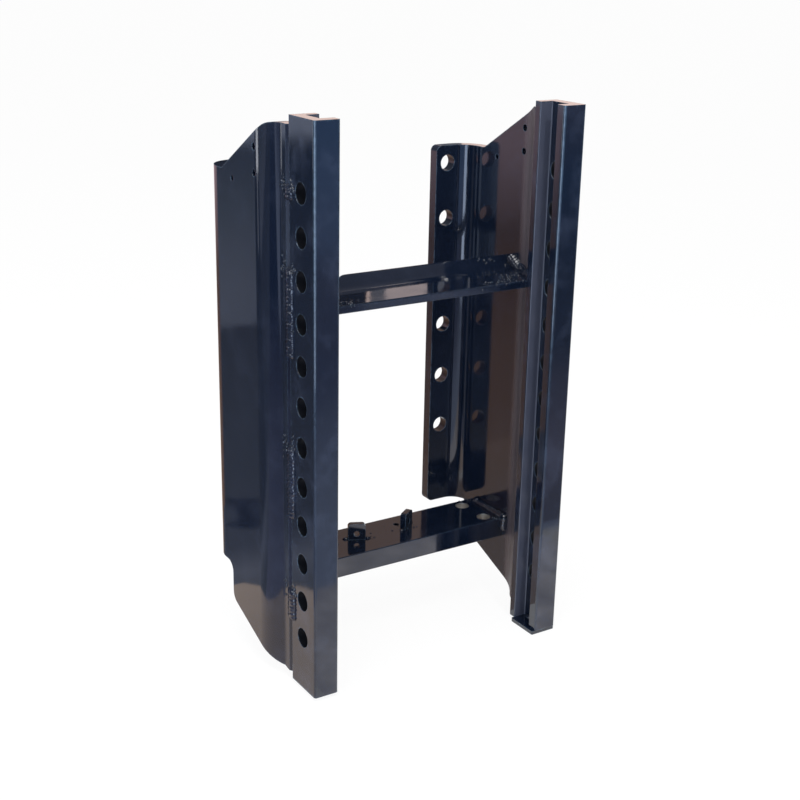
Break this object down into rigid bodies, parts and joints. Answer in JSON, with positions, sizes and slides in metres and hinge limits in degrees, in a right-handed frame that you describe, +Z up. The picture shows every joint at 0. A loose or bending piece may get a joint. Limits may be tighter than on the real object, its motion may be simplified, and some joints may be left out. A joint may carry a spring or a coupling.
{
  "type": "ladder hitch frame",
  "caption": "Welded tractor hitch frame with two slotted, pin-holed ladder rails, bent side plates with bolting flanges and two cross members.",
  "frame": {"origin": "centre of the bounding box in plan, at its lowest plane, the underside of the stop plate under the right rail", "axes": "+Z up along the ladder rails, +Y from the slotted rails at the front to the bolting flanges at the back, +X from the left rail to the right rail"},
  "size_m": [0.402, 0.256, 0.708],
  "materials": {
    "navy_paint": "very glossy dark navy paint over everything, welds included"
  },
  "bodies": {
    "root": {"left_lug": "navy_paint", "left_lug_weld": "navy_paint", "left_rail": "navy_paint", "left_rail_weld_bottom": "navy_paint", "left_rail_weld_lower": "navy_paint", "left_rail_weld_top": "navy_paint", "left_rail_weld_upper": "navy_paint", "left_side_plate": "navy_paint", "lower_bar_left_weld": "navy_paint", "lower_bar_right_weld": "navy_paint", "lower_cross_bar": "navy_paint", "rail_foot_stop": "navy_paint", "rail_stop_weld": "navy_paint", "right_lug": "navy_paint", "right_lug_weld": "navy_paint", "right_rail": "navy_paint", "right_rail_weld_bottom": "navy_paint", "right_rail_weld_lower": "navy_paint", "right_rail_weld_top": "navy_paint", "right_rail_weld_upper": "navy_paint", "right_side_plate": "navy_paint", "upper_cross_member": "navy_paint", "upper_member_left_weld": "navy_paint", "upper_member_right_weld": "navy_paint"}
  },
  "joints": []
}
